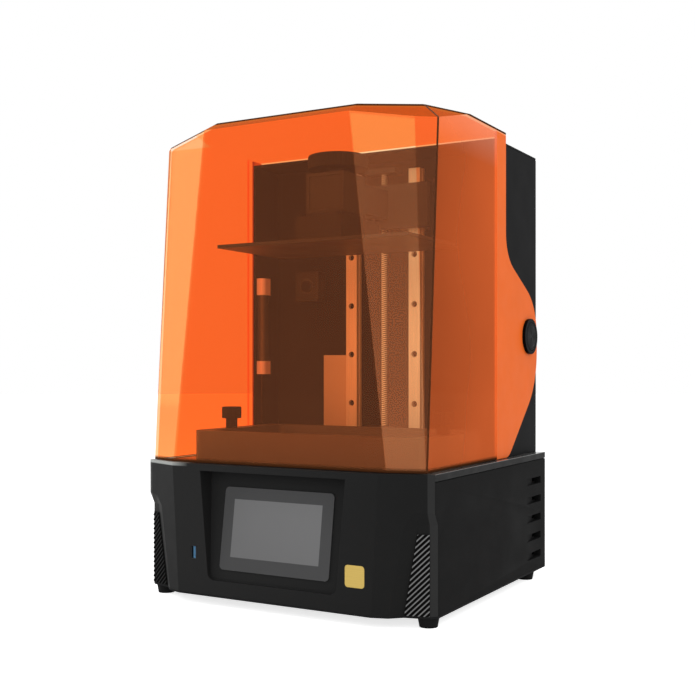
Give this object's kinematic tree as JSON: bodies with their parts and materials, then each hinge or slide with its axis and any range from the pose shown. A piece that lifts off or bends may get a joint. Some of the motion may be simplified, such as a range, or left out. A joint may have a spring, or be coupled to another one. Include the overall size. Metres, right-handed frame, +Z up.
{
  "type": "resin printer",
  "caption": "Desktop resin printer: black base with tilted touch screen, tower with a screw-driven platform on twin rails, resin vat, and an amber lid that swings back on side pivots.",
  "frame": {"origin": "on the floor under the middle of the base", "axes": "+Z up, front at -Y, +X to the right seen from the front"},
  "size_m": [0.35, 0.338, 0.5155],
  "materials": {
    "black_shell": "matte",
    "tinted_lid": "transparent, polished",
    "hinge_arm": "satin",
    "foot_rubber": "matte",
    "rib_plastic": "matte",
    "cover_glass": "glossy",
    "socket_steel": "matte",
    "badge_gold": "matte",
    "dark_metal": "matte",
    "bright_steel": "matte",
    "cast_aluminium": "matte",
    "board_green": "matte",
    "grey_plastic": "matte",
    "clear_film": "clear",
    "pale_plastic": "matte",
    "gloss_black": "glossy"
  },
  "bodies": {
    "base": {"axis_motor": "dark_metal", "axis_panel": "dark_metal", "badge_plate": "badge_gold", "bottom_pan": "dark_metal", "camera": "gloss_black", "chamber_lamp": "pale_plastic", "display_module": "grey_plastic", "fan_frame": "grey_plastic", "film_ring": "cast_aluminium", "front_bezel": "black_shell", "heat_sink": "cast_aluminium", "hinge_fasteners": "bright_steel", "hinge_hubs": "gloss_black", "lamp_lead": "gloss_black", "led_board": "board_green", "left_corner_grille": "rib_plastic", "left_side_panel": "black_shell", "lens_array": "cover_glass", "light_hood": "dark_metal", "limit_sensor": "gloss_black", "linear_rails": "bright_steel", "main_board": "board_green", "mask_lcd": "cover_glass", "power_inlet": "gloss_black", "power_supply": "cast_aluminium", "rail_screws": "dark_metal", "rear_panel": "dark_metal", "release_film": "clear_film", "right_corner_grille": "rib_plastic", "right_side_panel": "black_shell", "ring_screws": "bright_steel", "rubber_feet": "foot_rubber", "screw_bearings": "cast_aluminium", "service_cover": "pale_plastic", "standoffs": "bright_steel", "switch_frame": "gloss_black", "top_deck": "dark_metal", "touch_panel": "cover_glass", "tower_cap": "dark_metal", "tower_shell": "dark_metal", "usb_port": "socket_steel", "vat_frame": "cast_aluminium"},
    "lid": {"lid_shell": "tinted_lid", "lid_arm_right": "hinge_arm", "lid_arm_left": "hinge_arm"},
    "platform": {"carriage_plate": "cast_aluminium", "rail_blocks": "bright_steel", "screw_nut": "cast_aluminium", "limit_flag": "dark_metal", "platform_arm": "cast_aluminium", "platform_mount": "cast_aluminium", "levelling_screws": "bright_steel", "build_plate": "cast_aluminium"},
    "drive": {"drive_screw": "bright_steel"},
    "clamp_knob": {"platform_knob": "dark_metal"},
    "left_thumb": {"left_vat_thumbscrew": "dark_metal"},
    "right_thumb": {"right_vat_thumbscrew": "dark_metal"},
    "rocker": {"power_rocker": "gloss_black"},
    "fan": {"fan_rotor": "grey_plastic"}
  },
  "joints": [
    {"name": "lid_swing", "type": "hinge", "parent": "base", "child": "lid", "pos_m": [0, 0.1311, 0.2881], "axis": [-1, 0, 0], "range_deg": [0, 85]},
    {"name": "platform_slide", "type": "slide", "parent": "base", "child": "platform", "axis": [0, 0, 1], "range_m": [-0.235, 0]},
    {"name": "drive_spin", "type": "hinge", "parent": "base", "child": "drive", "pos_m": [0, 0.083, 0.3], "axis": [0, 0, 1], "continuous": true},
    {"name": "clamp_turn", "type": "hinge", "parent": "platform", "child": "clamp_knob", "pos_m": [0, -0.03, 0.48], "axis": [0, 0, 1], "continuous": true},
    {"name": "left_thumb_turn", "type": "hinge", "parent": "base", "child": "left_thumb", "pos_m": [-0.137, -0.045, 0.19], "axis": [0, 0, 1], "continuous": true},
    {"name": "right_thumb_turn", "type": "hinge", "parent": "base", "child": "right_thumb", "pos_m": [0.137, -0.045, 0.19], "axis": [0, 0, 1], "continuous": true},
    {"name": "rocker_tip", "type": "hinge", "parent": "base", "child": "rocker", "pos_m": [0.12, 0.1612, 0.078], "axis": [1, 0, 0], "range_deg": [-16, 0]},
    {"name": "fan_spin", "type": "hinge", "parent": "base", "child": "fan", "pos_m": [-0.1, 0.15, 0.095], "axis": [0, 1, 0], "continuous": true}
  ],
  "couplings": [
    {"joint": "drive_spin", "follows": "platform_slide", "rad_per_m": 1256.6}
  ]
}
